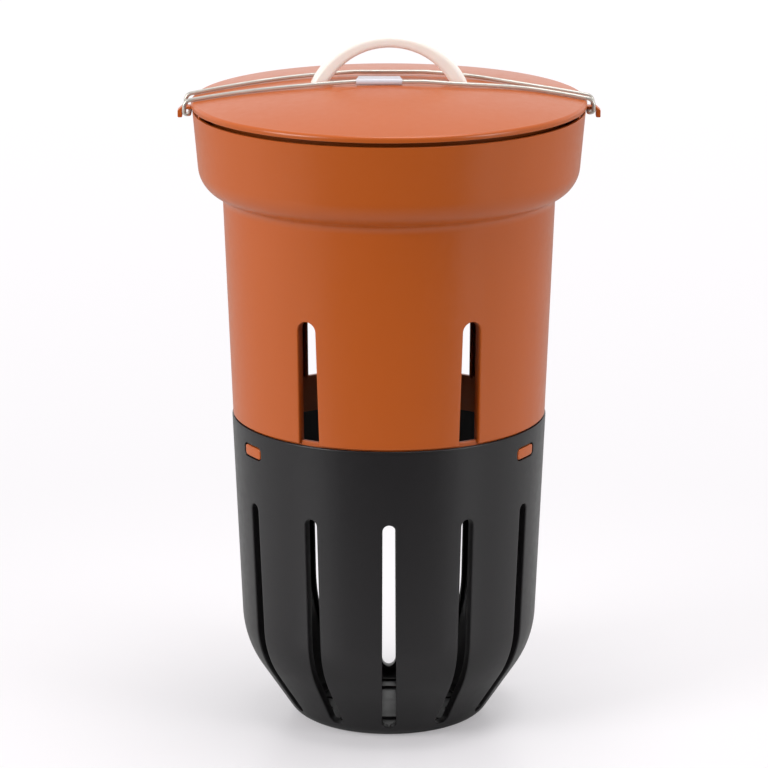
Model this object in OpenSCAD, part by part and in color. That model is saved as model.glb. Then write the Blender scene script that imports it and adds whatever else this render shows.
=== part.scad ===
// Worm composter: a slotted basket that is sunk in the soil, a feeding pot pushed into its mouth,
// a domed lid with an arch handle, and a spring wire bail that holds the lid down.
// Millimetres, +Z up, origin at the centre of the flat foot. The front slot faces -Y.

/* [Basket] */
// Height of the seam between the basket and the pot
seam_z = 234; // [220:1:240]
// Height of the dark groove between the basket's rim and the pot's lower edge
seam_gap = 1.1; // [0.5:0.1:1.5]
// Outer radius of the basket at the seam
basket_r = 116.8; // [112:0.1:120]
// Draft of the basket's side wall, in degrees
basket_draft = 2.5; // [1:0.1:4]
// Radius of the flat foot
foot_r = 60; // [50:1:64]
// Radius of the round between the foot and the cone
foot_round = 18; // [10:1:20]
// Angle of the lower cone from the vertical, in degrees
cone_angle = 33.7; // [30:0.1:36]
// Radius of the round between the cone and the side wall
shoulder_round = 75; // [50:1:90]
// Thickness of every moulded wall
wall = 3; // [2.5:0.1:3.5]

/* [Basket slots] */
// Number of tall slots round the basket
slot_count = 12; // [6:2:12]
// Height of a slot's upper end
slot_top_z = 177; // [150:1:185]
// Height of a slot's lower end
slot_low_z = 9.5; // [8:0.5:30]
// Width of a slot at its upper end
slot_top_w = 9.5; // [6:0.5:11]
// Width of a slot at its lower end
slot_low_w = 10.5; // [6:0.5:12]
// Depth of the lip round each slot, inside the wall
lip_depth = 3.5; // [2:0.5:5]
// Width of that lip beside the slot
lip_w = 1.8; // [1.5:0.1:3]
// Radius of the inner ring of drain openings in the floor
drain_in_r = 30; // [26:1:34]
// Radius of the outer ring of drain openings
drain_out_r = 48; // [46:1:49]
// Length of one drain opening, along the radius
drain_l = 8; // [6:0.5:9]
// Width of one drain opening
drain_w = 4; // [3:0.5:5]

/* [Pot] */
// Outer radius of the pot at the seam
pot_r = 116.1; // [112:0.1:119]
// Draft of the pot's side wall, in degrees
pot_draft = 2.2; // [1:0.1:4]
// Height at which the wall meets the flare
neck_z = 399.1; // [380:1:405]
// Angle of the flare from the vertical, in degrees
flare_angle = 65; // [50:1:70]
// Outer radius of the rim
rim_r = 144; // [142:0.5:146]
// Height of the rim's top face
rim_z = 461.5; // [455:0.5:466]
// Draft of the collar below the rim, in degrees
collar_draft = 5; // [3:0.5:7]
// Radius of the hollow round between the wall and the flare
neck_round = 9.2; // [6:0.1:12]
// Radius of the round between the flare and the collar
flare_round = 22; // [16:0.5:24]
// Outer radius of the spigot that enters the basket
spigot_r = 112.5; // [112:0.1:112.6]
// Wall thickness of the spigot
spigot_wall = 2.5; // [2:0.1:3]
// Height of the spigot's lower end
spigot_low_z = 208; // [206:0.5:210]

/* [Pot windows] */
// Number of windows round the pot
window_count = 6; // [3:3:6]
// Height of a window's upper end
window_top_z = 326; // [300:1:340]
// Height of a window's sill
window_sill_z = 236; // [236:0.5:245]
// Width of a window at its upper end
window_top_w = 14.5; // [8:0.5:15]
// Width of a window at the seam
window_low_w = 16.5; // [10:0.5:17]
// Depth of the lip round each window, inside the wall
window_lip = 4.2; // [2:0.1:5]

/* [Release buttons] */
// Height of a button's centre
button_z = 217; // [215:1:219]
// Width of a button's face
button_w = 21.8; // [20:0.1:22.4]
// Height of a button's face
button_h = 8; // [6:0.1:8.4]
// Gap round a button's face
button_gap = 1.1; // [0.5:0.1:1.2]
// Radius of a button's corners
button_corner = 2.4; // [1:0.1:3.6]
// Width of the flexible finger behind a button
finger_w = 23; // [22.5:0.5:24]
// Thickness of that finger
finger_t = 2.5; // [2:0.1:3]
// Gap between a finger and the spigot
finger_gap = 0.8; // [0.6:0.1:1.5]
// Depth of the shallow panel between a button and the seam
panel_depth = 0.4; // [0.2:0.1:0.8]

/* [Lid] */
// Overhang of the lid beyond the pot's rim
lid_overhang = 1; // [0.5:0.1:1.5]
// Height of the dark gap between the rim and the lid's edge
lid_gap = 3.2; // [2:0.1:4]
// Thickness of the lid's edge
lid_edge_t = 2.2; // [1.8:0.1:3]
// Radius of the rounded edge between the edge's face and the dome
dome_edge_round = 2.6; // [1.5:0.1:3.2]
// Rise of the dome above its rounded edge
dome_rise = 13.9; // [11:0.1:16]
// Thickness of the dome
dome_t = 2.6; // [2.2:0.1:3.5]
// Gap between the pot's inner wall and the lid's skirt
skirt_gap = 7.5; // [5:0.5:10]
// Thickness of the skirt
skirt_t = 2.4; // [2:0.1:3]
// Depth of the skirt below the rim's top face
skirt_depth = 9.5; // [6:0.5:14]
// Thickness of the ribs that rest on the rim and centre the lid
rib_t = 3; // [2:0.5:4]

/* [Handle] */
// Turn of the handle from the line through the lugs, in degrees
handle_turn = 1.5; // [0:0.5:5]
// Outer radius of the arch
arch_r = 63.6; // [62:0.1:66]
// Height of the outer arc's centre above the rim
arch_drop = -8.3; // [-12:0.1:-7]
// Inner radius of the arch
grip_r = 50.6; // [48:0.1:51]
// Height of the inner arc's centre above the rim
grip_drop = -4; // [-5:0.1:-3]
// Width of the arch, front to back
arch_w = 18; // [14:0.5:18]
// Radius of the arch's rounded edges
arch_round = 3.2; // [1:0.1:4]
// Diameter of a handle screw
screw_d = 4; // [3:0.5:4.5]
// Length of a handle screw below its head
screw_l = 16; // [12:1:20]

/* [Bail] */
// Diameter of the wire
wire_d = 3; // [2.5:0.1:3.2]
// Distance of each strand from the centre line at mid length
strand_mid_y = 20; // [18:0.5:21]
// Distance of the strands from the centre line at the left end
left_end_y = 13.5; // [9:0.5:15]
// Distance of the strands from the centre line at the right end
right_end_y = 6.8; // [6.7:0.1:10]
// Half length of the straight stretch that carries the tab
strand_flat = 25; // [24.5:0.5:30]
// Distance of the legs beyond the lid's edge
leg_reach = 4.4; // [4.2:0.1:5]
// Distance of the cross bars beyond the pot's rim
bar_reach = 1.8; // [1.8:0.1:2.6]
// Depth of the cross bars below the rim's top face
bar_drop = 1.3; // [1.3:0.1:2]
// Radius of the bend over the lid's edge
crest_bend = 5; // [4.8:0.1:6]
// Sideways place of the tab's middle
tab_x = -7.2; // [-8:0.1:0]
// Width of the tab at the wire
tab_w = 33.5; // [28:0.5:34]
// Width of the tab at its free edge
tab_free_w = 30; // [24:0.5:33]
// Reach of the tab behind the wire
tab_reach = 8; // [5:0.1:8.2]
// Tilt of the tab's plate, in degrees
tab_tilt = 6; // [0:1:8]
// Thickness of the tab's plate
tab_t = 1.4; // [1.2:0.1:1.6]
// Outer radius of the tab's rolled knuckle
knuckle_r = 2.2; // [2.1:0.1:2.6]
// Running clearance between the wire and the knuckle
knuckle_clear = 0.06; // [0.04:0.01:0.1]

/* [Lugs] */
// Width of a lug, front to back
lug_w = 9; // [7:0.5:9]
// Reach of a lug beyond the pot's rim
lug_reach = 10.8; // [10.6:0.1:12]
// Height of the lug arm's lower face above the rim
lug_rise = 0.5; // [0.5:0.05:0.6]
// Thickness of the lug's arm
lug_arm_t = 2.2; // [1.8:0.1:2.3]
// Depth of the lug's lip below the rim
lug_lip_drop = 5.5; // [4:0.1:7]
// Thickness of the lug's lip
lug_lip_t = 3.4; // [2.5:0.1:3.4]

/* [Hidden] */
$fn = 96;

basket_black = "#302e31";
pot_orange = "#b0562f";
handle_cream = "#f7ebda";
steel_grey = "#a9a69f";
tab_grey = "#d9d9e0";

// Azimuths of the three buttons, turned from the front slot
button_turns = [-60, 60, 180];
// Azimuths of the ribs under the lid
rib_turns = [-105, -75, 75, 105];
// Points in one rounded corner of an outline
corner_points = 8;
// Points along the dome from its shoulder to its crown
dome_points = 16;
// Steps along half a strand of the bail
strand_steps = 20;
// Radius of the rim's outer edge
rim_round = 0.8;
// Overlap of pieces that are moulded together
merge = 0.5;

// Radius beyond every wall of the basket and the pot, for cuts that go through them
cut_reach = rim_r + 2;
// Height of the basket's rim
basket_top_z = seam_z - seam_gap;
// Radius of the inner side of the groove at the seam
groove_r = pot_r - 1.8;
// Radius of the corner between the foot and the cone, before it is rounded
foot_corner_r = foot_r + foot_round / tan((90 + cone_angle) / 2);
// Outer radius of the lid
lid_r = rim_r + lid_overhang;
// Height of the lower face of the lid's edge
lid_low_z = rim_z + lid_gap;
// Height at which the edge's face turns into its rounded edge
crease_z = lid_low_z + lid_edge_t;
// Radius and height at which the rounded edge meets the dome
shoulder_r = lid_r - dome_edge_round;
shoulder_z = crease_z + dome_edge_round;
// Heights of the centres of the handle's arcs
arch_z = rim_z + arch_drop;
grip_z = rim_z + grip_drop;
// Depth of the ring that the arch is cut from
arch_depth = 30;
// Upper end of the openings for the fingers, just below the seam
cut_top_z = seam_z - 2;
// Place of a finger's hinge line, in the middle of its rolled upper end
hinge_r = spigot_r - 0.5 - finger_t / 2;
hinge_z = cut_top_z - 0.05 - finger_t / 2;
// Height of a button's upper edge, where the panel above it starts
panel_z = button_z + button_h / 2;
// Lean of the handle's screws, in degrees
screw_lean = 28;
// Distance of a screw from the axis, at the dome's lower face
boss_x = 49.8;
boss_d = 13;
boss_l = 5;
washer_t = 1;
washer_d = 11;
head_d = 8;
head_t = 2.8;
screw_play = 0.4;
// Distances from the axis of the legs and the cross bars
leg_x = lid_r + leg_reach;
bar_x = rim_r + bar_reach;
bar_z = rim_z - bar_drop;
// Radius of the bend between a leg and its cross bar
leg_bend = 2.2;
// Gap between a strand and the dome
strand_clear = 0.3;
// Where the strands start to turn inwards on the left and right, and over which length
left_turn_x = 55;
left_turn_l = 95;
right_turn_x = 40;
right_turn_l = 70;
// Height of the wire above the dome where the tab's knuckle goes round it
knuckle_lift = knuckle_r + 0.2;

// Helpers
function unit(v) = v / norm(v);
function turned(v, a) = [v[0] * cos(a) - v[1] * sin(a), v[0] * sin(a) + v[1] * cos(a)];
function flipped(list) = [for (i = [len(list) - 1 : -1 : 0]) list[i]];

// Arc of radius r that rounds the corner p between its neighbours a and b
function corner(a, p, b, r) =
    let(u = unit(a - p))
    let(v = unit(b - p))
    let(half = acos(u * v) / 2)
    let(centre = p + unit(u + v) * r / sin(half))
    let(spoke = p + u * r / tan(half) - centre)
    let(way = u[0] * v[1] - u[1] * v[0] < 0 ? 1 : -1)
    [for (i = [0 : corner_points]) centre + turned(spoke, way * (180 - 2 * half) * i / corner_points)];

// Height of the dome's upper face at a distance from the axis
function dome_z(d) = shoulder_z + dome_rise * (1 - pow(d / shoulder_r, 2));

// Outline of the basket's outer face moved inwards by t, from the axis up to the seam
function basket_line(t) =
    let(top_r = basket_r - t / cos(basket_draft))
    let(cone_r = foot_corner_r - t / cos(cone_angle))
    let(bend_z = (top_r - seam_z * tan(basket_draft) - cone_r) / (tan(cone_angle) - tan(basket_draft)))
    let(bend = [top_r - (seam_z - bend_z) * tan(basket_draft), bend_z])
    let(foot = [cone_r + t * tan(cone_angle), t])
    concat(
        [[0, t]],
        corner([0, t], foot, bend, foot_round - t),
        corner(foot, bend, [top_r, seam_z], shoulder_round - t),
        [[top_r - seam_gap * tan(basket_draft), basket_top_z]]
    );

// Outline of the pot's outer face moved inwards by t, from low_z up to the rim
function pot_line(t, low_z) =
    let(neck_r = pot_r + (neck_z - seam_z) * tan(pot_draft))
    let(top_r = rim_r - t / cos(collar_draft))
    let(flare_r = neck_r - t / cos(flare_angle))
    let(wall_r = neck_r - t / cos(pot_draft))
    let(low_bend_z = neck_z + (flare_r - wall_r) / (tan(pot_draft) - tan(flare_angle)))
    let(low_bend = [wall_r + (low_bend_z - neck_z) * tan(pot_draft), low_bend_z])
    let(high_bend_z = (top_r - rim_z * tan(collar_draft) - flare_r + neck_z * tan(flare_angle))
        / (tan(flare_angle) - tan(collar_draft)))
    let(high_bend = [top_r - (rim_z - high_bend_z) * tan(collar_draft), high_bend_z])
    let(low = [wall_r - (neck_z - low_z) * tan(pot_draft), low_z])
    concat(
        [low],
        corner(low, low_bend, high_bend, neck_round + t),
        corner(low_bend, high_bend, [top_r, rim_z], flare_round - t),
        [[top_r, rim_z]]
    );

// Turns a child that faces +X to an azimuth counted from the front, -Y
module face(turn) {
    rotate([0, 0, turn - 90]) children();
}

// Extrudes a side view (x = sideways, y = height) outwards along +X between two radii
module outward(r0, r1) {
    translate([r0, 0, 0]) rotate([90, 0, 90]) linear_extrude(r1 - r0) children();
}

// Side view of a tall slot with two round ends
module slot_view(top_z, low_z, top_w, low_w) {
    translate([0, top_z - top_w / 2]) circle(d = top_w);
    translate([0, low_z + low_w / 2]) circle(d = low_w);
    polygon([
        [-top_w / 2, top_z - top_w / 2], [top_w / 2, top_z - top_w / 2],
        [low_w / 2, low_z + low_w / 2], [-low_w / 2, low_z + low_w / 2]
    ]);
}

// Side view of a window with a round top and a straight sill
module window_view(low_z, grow) {
    top_r = window_top_w / 2 + grow;
    spring_z = window_top_z - window_top_w / 2;
    low_half = window_low_w / 2 + grow;
    translate([0, spring_z]) circle(r = top_r);
    polygon([[-top_r, spring_z], [top_r, spring_z], [low_half, low_z], [-low_half, low_z]]);
}

// Rectangle with round corners, about the origin
module round_rect(w, h, r) {
    square([w - 2 * r, h], center = true);
    square([w, h - 2 * r], center = true);
    for (x = [-1, 1], y = [-1, 1]) {
        translate([x * (w / 2 - r), y * (h / 2 - r)]) circle(r = r, $fn = 32);
    }
}

// Basket
module basket_shell() {
    rotate_extrude($fn = 180) polygon(concat(basket_line(0), flipped(basket_line(wall))));
}

module basket_lips() {
    intersection() {
        rotate_extrude($fn = 180)
            polygon(concat(basket_line(wall - merge), flipped(basket_line(wall + lip_depth))));
        union() {
            for (i = [0 : slot_count - 1]) {
                face(i * 360 / slot_count) outward(foot_r, cut_reach)
                    slot_view(
                        slot_top_z + lip_w, slot_low_z - 4,
                        slot_top_w + 2 * lip_w, slot_low_w + 2 * lip_w
                    );
            }
        }
    }
}

module drains() {
    for (i = [0 : slot_count - 1], r = [drain_in_r, drain_out_r]) {
        face((i + 0.5) * 360 / slot_count) translate([r, 0, wall / 2])
            cube([drain_l, drain_w, 2 * wall], center = true);
    }
}

// Low rings on the floor that keep the bedding off the drain openings
module floor_ridges() {
    ridge_w = 1.6;
    ridge_h = 1.5;
    for (r = [drain_in_r, drain_out_r]) {
        rotate_extrude() translate([r + drain_l / 2 + 1, wall - merge]) square([ridge_w, ridge_h + merge]);
    }
}

// Openings for the buttons, each with a shallow panel above it up to the rim
module button_openings() {
    hole_w = button_w + 2 * button_gap;
    hole_h = button_h + 2 * button_gap;
    panel_h = seam_z - panel_z + 1;
    panel_r = basket_r - panel_depth;
    for (turn = button_turns) {
        face(turn) {
            translate([0, 0, button_z]) outward(foot_r, cut_reach)
                round_rect(hole_w, hole_h, button_corner + button_gap);
            difference() {
                translate([0, -hole_w / 2, panel_z]) cube([cut_reach, hole_w, panel_h]);
                translate([0, 0, panel_z - 1])
                    cylinder(r1 = panel_r - panel_h * tan(basket_draft), r2 = panel_r, h = panel_h + 1.01, $fn = 180);
            }
        }
    }
}

module basket() {
    color(basket_black) difference() {
        union() {
            basket_shell();
            basket_lips();
            floor_ridges();
        }
        for (i = [0 : slot_count - 1]) {
            face(i * 360 / slot_count) outward(foot_r, cut_reach)
                slot_view(slot_top_z, slot_low_z, slot_top_w, slot_low_w);
        }
        drains();
        button_openings();
    }
}

// Pot
module pot_shell() {
    outer = pot_line(0, seam_z);
    inner = pot_line(wall, window_sill_z + 2);
    spigot_in = spigot_r - spigot_wall;
    top = len(outer) - 1;
    rotate_extrude($fn = 180) polygon(concat(
        [
            [spigot_in, spigot_low_z], [spigot_r, spigot_low_z], [spigot_r, basket_top_z],
            [groove_r, basket_top_z], [groove_r, seam_z]
        ],
        [for (i = [0 : top - 1]) outer[i]],
        corner(outer[top - 1], outer[top], inner[len(inner) - 1], rim_round),
        flipped(inner),
        [[spigot_in, window_sill_z - 1.5]]
    ));
}

module pot_lips() {
    intersection() {
        rotate_extrude($fn = 180) polygon(concat(
            pot_line(wall - merge, window_sill_z - 1),
            flipped(pot_line(wall + window_lip, window_sill_z - 1))
        ));
        union() {
            for (i = [0 : window_count - 1]) {
                face((i + 0.5) * 360 / window_count) outward(foot_r, cut_reach)
                    window_view(window_sill_z - 2, lip_w);
            }
        }
    }
}

// The windows, which reach down to the seam in front of their sills
module pot_windows() {
    for (i = [0 : window_count - 1]) {
        face((i + 0.5) * 360 / window_count) {
            outward(foot_r, cut_reach) window_view(window_sill_z, 0);
            translate([spigot_r, -window_low_w / 2, seam_z - 0.6])
                cube([cut_reach - spigot_r, window_low_w, window_sill_z - seam_z + 1]);
        }
    }
}

// Openings in the spigot that the buttons' fingers hang in
module finger_openings() {
    cut_w = finger_w + 2 * finger_gap;
    for (turn = button_turns) {
        face(turn) translate([foot_r, -cut_w / 2, spigot_low_z - 1])
            cube([cut_reach - foot_r, cut_w, cut_top_z - spigot_low_z + 1]);
    }
}

// A hook on each side of the rim: an arm over the bail's cross bar, and a lip with a sloping top
module lug() {
    root_x = rim_r - 2.2;
    neck_x = rim_r - 0.3;
    end_x = rim_r + lug_reach;
    lip_x = end_x - lug_lip_t;
    arm_z = rim_z + lug_rise;
    top_z = arm_z + lug_arm_t;
    slope = 3;
    rotate([90, 0, 0]) linear_extrude(lug_w, center = true) polygon([
        [root_x, rim_z - merge], [neck_x, rim_z - merge], [neck_x, arm_z], [lip_x, arm_z],
        [lip_x, rim_z - lug_lip_drop], [end_x, rim_z - lug_lip_drop],
        [end_x, top_z - slope], [lip_x, top_z], [root_x, top_z]
    ]);
}

module pot() {
    color(pot_orange) {
        difference() {
            union() {
                pot_shell();
                pot_lips();
                lug();
                rotate([0, 0, 180]) lug();
            }
            pot_windows();
            finger_openings();
        }
    }
}

// Release buttons
// A flexible finger that hangs in the spigot, with a pad that fills the opening in the basket
module release_button(turn) {
    finger_x = hinge_r - finger_t / 2;
    color(pot_orange) face(turn) {
        translate([finger_x, -finger_w / 2, spigot_low_z + 1])
            cube([finger_t, finger_w, hinge_z - spigot_low_z - 1]);
        translate([hinge_r, 0, hinge_z]) rotate([90, 0, 0])
            cylinder(d = finger_t, h = finger_w, center = true);
        intersection() {
            translate([0, 0, button_z]) outward(hinge_r, cut_reach)
                round_rect(button_w, button_h, button_corner);
            translate([0, 0, button_z - button_h])
                cylinder(
                    r1 = basket_r - (seam_z - button_z + button_h) * tan(basket_draft),
                    r2 = basket_r - (seam_z - button_z - button_h) * tan(basket_draft),
                    h = 2 * button_h,
                    $fn = 180
                );
        }
    }
}

module release_button_left() {
    release_button(button_turns[0]);
}

module release_button_right() {
    release_button(button_turns[1]);
}

module release_button_rear() {
    release_button(button_turns[2]);
}

// Lid
// Outline of the dome moved down by t, from a radius inwards to another
function dome_line(t, from_r = shoulder_r, to_r = 0) = [
    for (i = [0 : dome_points])
        let(d = from_r + (to_r - from_r) * i / dome_points)
        [d, dome_z(d) - t]
];

// The shell: an edge that is turned down, a rounded edge, the dome, and a skirt inside the rim
module lid_shell() {
    skirt_top_r = rim_r - wall - skirt_gap;
    skirt_low_r = skirt_top_r - skirt_depth * tan(collar_draft);
    skirt_in_r = skirt_low_r - skirt_t;
    edge_bevel = 0.5;
    lip_in_r = lid_r - dome_t;
    under = dome_line(dome_t, lip_in_r, skirt_top_r);
    rotate_extrude($fn = 180) polygon(concat(
        [[lip_in_r, lid_low_z], [lid_r - edge_bevel, lid_low_z], [lid_r, lid_low_z + edge_bevel]],
        corner([lid_r, lid_low_z], [lid_r, shoulder_z], [0, shoulder_z], dome_edge_round),
        [for (i = [1 : dome_points]) dome_line(0)[i]],
        flipped(dome_line(dome_t, skirt_in_r)),
        [[skirt_in_r, rim_z - skirt_depth], [skirt_low_r, rim_z - skirt_depth]],
        [for (i = [dome_points : -4 : 0]) under[i]]
    ));
}

// The space below the middle of the dome's thickness
module under_dome() {
    rotate_extrude($fn = 180) polygon(concat(
        [[0, arch_z], [lid_r - 1, arch_z], [lid_r - 1, shoulder_z - dome_t / 2]],
        dome_line(dome_t / 2)
    ));
}

// Four ribs between the skirt and the rim: each stands on the rim and reaches down inside it
module lid_ribs() {
    inner_r = rim_r - wall - skirt_gap - merge - skirt_t / 2;
    step_r = rim_r - wall - 1;
    seat_r = rim_r - 1;
    step_z = rim_z - 5;
    for (turn = rib_turns) {
        face(turn) rotate([90, 0, 0]) linear_extrude(rib_t, center = true) polygon([
            [inner_r, step_z], [step_r, step_z], [step_r, rim_z], [seat_r, rim_z],
            [seat_r, crease_z + merge], [inner_r, shoulder_z + merge]
        ]);
    }
}

// Places children on a handle screw's axis, which leans with the foot of the arch
module screw_axis(side) {
    foot_z = dome_z(boss_x) - dome_t;
    rotate([0, 0, handle_turn]) translate([side * boss_x, 0, foot_z])
        rotate([0, -side * screw_lean, 0]) children();
}

module lid() {
    color(pot_orange) difference() {
        union() {
            lid_shell();
            intersection() {
                under_dome();
                union() {
                    lid_ribs();
                    for (side = [-1, 1]) {
                        screw_axis(side) translate([0, 0, -boss_l]) cylinder(d = boss_d, h = boss_l + boss_d);
                    }
                }
            }
        }
        for (side = [-1, 1]) {
            screw_axis(side) translate([0, 0, -boss_l - 1]) cylinder(d = screw_d + screw_play, h = boss_l + screw_l);
        }
    }
}

// Handle
// Section of the arch, with its inner face at a radius
module arch_section(inner_r) {
    translate([inner_r + arch_depth / 2, 0]) round_rect(arch_depth, arch_w, arch_round);
}

// A crescent: the outer arc's centre lies lower than the inner arc's, so the arch is thinnest at its top
module handle() {
    color(handle_cream) difference() {
        rotate([0, 0, handle_turn]) intersection() {
            translate([0, 0, arch_z]) rotate([90, 0, 0]) rotate_extrude($fn = 180)
                arch_section(arch_r - arch_depth);
            translate([-arch_r - 1, -arch_w, arch_z]) cube([2 * arch_r + 2, 2 * arch_w, arch_r + 1]);
        }
        rotate([0, 0, handle_turn]) translate([0, 0, grip_z]) rotate([90, 0, 0]) rotate_extrude($fn = 180)
            difference() {
                translate([0, -arch_w]) square([grip_r + arch_round, 2 * arch_w]);
                arch_section(grip_r);
            }
        rotate_extrude($fn = 180) polygon(concat(
            [[0, arch_z - 1], [shoulder_r, arch_z - 1]],
            dome_line(0)
        ));
        for (side = [-1, 1]) {
            screw_axis(side) translate([0, 0, -boss_l]) cylinder(d = screw_d, h = screw_l - washer_t - 1);
        }
    }
}

module handle_screws() {
    color(steel_grey) {
        for (side = [-1, 1]) {
            screw_axis(side) {
                translate([0, 0, -boss_l - washer_t]) cylinder(d = screw_d, h = screw_l);
                translate([0, 0, -boss_l - washer_t - head_t]) cylinder(d = head_d, h = head_t);
            }
        }
    }
}

module handle_washers() {
    color(steel_grey) {
        for (side = [-1, 1]) {
            screw_axis(side) translate([0, 0, -boss_l - washer_t]) difference() {
                cylinder(d = washer_d, h = washer_t);
                translate([0, 0, -1]) cylinder(d = screw_d + screw_play, h = washer_t + 2);
            }
        }
    }
}

// Bail
// Height of the wire's straight stretch, which carries the tab
mid_wire_z = dome_z(strand_mid_y) + knuckle_lift;
// Lean of the strand's end, in degrees, and where its bend over the lid's edge starts
crest_lean = atan(2 * dome_rise / shoulder_r);
crest_x = leg_x - crest_bend * (1 - sin(crest_lean));

// Distance of the strands from the centre line at one end
function end_y(side) = side < 0 ? left_end_y : right_end_y;

// Sideways place of a strand at a distance x from the middle
function strand_y(side, x) =
    let(turn_x = side < 0 ? left_turn_x : right_turn_x)
    let(turn_l = side < 0 ? left_turn_l : right_turn_l)
    let(t = min(1, max(0, x - turn_x) / turn_l))
    strand_mid_y - (strand_mid_y - end_y(side)) * t * t * (3 - 2 * t);

// Height of a strand that just clears the dome
function resting_z(side, x) = dome_z(norm([x, strand_y(side, x)])) + wire_d / 2 + strand_clear;

// Height of a strand, lifted towards the middle to make room for the tab's knuckle
function strand_z(side, x) =
    let(lift = mid_wire_z - resting_z(side, strand_flat))
    let(t = (x - strand_flat) / (crest_x - strand_flat))
    resting_z(side, x) + lift * pow(1 - t, 3);

// Half of a strand's centre line, from the straight stretch to the end of the cross bar
function half_strand(side, back) =
    let(y = back * end_y(side))
    let(bend_z = strand_z(side, crest_x) - crest_bend * cos(crest_lean))
    let(turn = 90 - crest_lean)
    concat(
        [for (i = [0 : strand_steps]) let(x = strand_flat + (crest_x - strand_flat) * i / strand_steps)
            [side * x, back * strand_y(side, x), strand_z(side, x)]],
        [for (i = [1 : 4]) let(a = crest_lean + turn * i / 4)
            [side * (leg_x - crest_bend + crest_bend * sin(a)), y, bend_z + crest_bend * cos(a)]],
        [for (a = [0 : 22.5 : 90])
            [side * (leg_x - leg_bend + leg_bend * cos(a)), y, bar_z + leg_bend - leg_bend * sin(a)]],
        [[side * bar_x, y, bar_z]]
    );

// Closed tube of round section along a list of points that runs mostly in one upright plane
module tube(path, d) {
    sides = 12;
    last = len(path) - 1;
    along = [for (i = [0 : last]) unit(path[min(i + 1, last)] - path[max(i - 1, 0)])];
    out = [for (i = [0 : last]) unit(cross(along[i], [0, 1, 0]))];
    points = [
        for (i = [0 : last], k = [0 : sides - 1])
            let(a = 360 * k / sides)
            path[i] + d / 2 * (cos(a) * out[i] + sin(a) * cross(out[i], along[i]))
    ];
    polyhedron(
        points,
        concat(
            [[for (k = [sides - 1 : -1 : 0]) k]],
            [[for (k = [0 : sides - 1]) last * sides + k]],
            [
                for (i = [0 : last - 1], k = [0 : sides - 1])
                    let(n = (k + 1) % sides)
                    [i * sides + k, i * sides + n, (i + 1) * sides + n, (i + 1) * sides + k]
            ]
        )
    );
}

module bail_wire() {
    color(steel_grey) {
        for (back = [-1, 1]) {
            tube(concat(flipped(half_strand(-1, back)), half_strand(1, back)), wire_d - 0.04);
            translate([-strand_flat, back * strand_mid_y, mid_wire_z]) rotate([0, 90, 0])
                cylinder(d = wire_d, h = 2 * strand_flat, $fn = 48);
        }
        for (side = [-1, 1]) {
            translate([side * bar_x, 0, bar_z]) rotate([90, 0, 0])
                cylinder(d = wire_d, h = 2 * end_y(side) + wire_d, center = true, $fn = 48);
        }
    }
}

// The tab: a rolled knuckle round the front strand and a flat plate behind it, tilted up
module bail_tab() {
    plate_low = knuckle_r - tab_t - 0.2;
    root_half = tab_w / 2 - 0.4;
    free_half = tab_free_w / 2;
    color(tab_grey) translate([tab_x, -strand_mid_y, mid_wire_z]) difference() {
        union() {
            rotate([0, 90, 0]) cylinder(r = knuckle_r, h = tab_w, center = true, $fn = 48);
            rotate([tab_tilt, 0, 0]) translate([0, 0, plate_low]) linear_extrude(tab_t) polygon([
                [-root_half, 0.2], [root_half, 0.2], [free_half, tab_reach], [-free_half, tab_reach]
            ]);
        }
        rotate([0, 90, 0])
            cylinder(r = wire_d / 2 + knuckle_clear, h = tab_w + 2, center = true, $fn = 48);
    }
}

basket();
pot();
release_button_left();
release_button_right();
release_button_rear();
lid();
handle();
handle_screws();
handle_washers();
bail_wire();
bail_tab();
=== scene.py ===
# %% [markdown]
# # A worm composter in moulded plastic
# The composter is a black slotted basket with an orange pot pushed into its mouth, a domed lid with
# a cream arch handle, and a spring wire that holds the lid down. Its working parts come as a fixed
# model with joints. This lesson dresses that model: each visible piece is a surface worked out with
# numpy, so that every moulded edge can be rounded as it is on the real thing.

# %% Load the working model
import math

import bmesh
import bpy
import numpy as np
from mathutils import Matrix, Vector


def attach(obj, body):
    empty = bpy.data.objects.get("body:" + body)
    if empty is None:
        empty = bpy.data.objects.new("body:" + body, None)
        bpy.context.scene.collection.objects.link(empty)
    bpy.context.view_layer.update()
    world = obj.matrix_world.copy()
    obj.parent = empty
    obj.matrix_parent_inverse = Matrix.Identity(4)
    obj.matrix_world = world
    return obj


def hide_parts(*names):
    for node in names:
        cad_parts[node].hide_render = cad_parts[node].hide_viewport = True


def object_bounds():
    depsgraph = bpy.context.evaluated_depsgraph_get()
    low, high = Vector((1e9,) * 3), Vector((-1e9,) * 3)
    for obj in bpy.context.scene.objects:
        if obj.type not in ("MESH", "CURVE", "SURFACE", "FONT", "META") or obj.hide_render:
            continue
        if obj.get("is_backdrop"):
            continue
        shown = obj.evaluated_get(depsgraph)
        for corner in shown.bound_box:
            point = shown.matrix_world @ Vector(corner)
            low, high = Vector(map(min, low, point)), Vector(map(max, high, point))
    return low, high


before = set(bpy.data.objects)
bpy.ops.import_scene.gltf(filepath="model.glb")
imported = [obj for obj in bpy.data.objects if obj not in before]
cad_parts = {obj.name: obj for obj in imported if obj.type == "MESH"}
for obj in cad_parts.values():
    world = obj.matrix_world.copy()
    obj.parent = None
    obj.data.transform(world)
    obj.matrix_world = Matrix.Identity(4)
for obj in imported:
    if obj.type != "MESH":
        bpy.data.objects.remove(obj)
cad_low, cad_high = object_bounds()
print("nodes:", sorted(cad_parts))

# %% [markdown]
# ## Camera and light
# The camera stands 3.1 m away with a long lens and looks down at 14.65 degrees, as in the photograph,
# so the rims show as flat ellipses. It comes first, because every later choice is judged through it.

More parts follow.
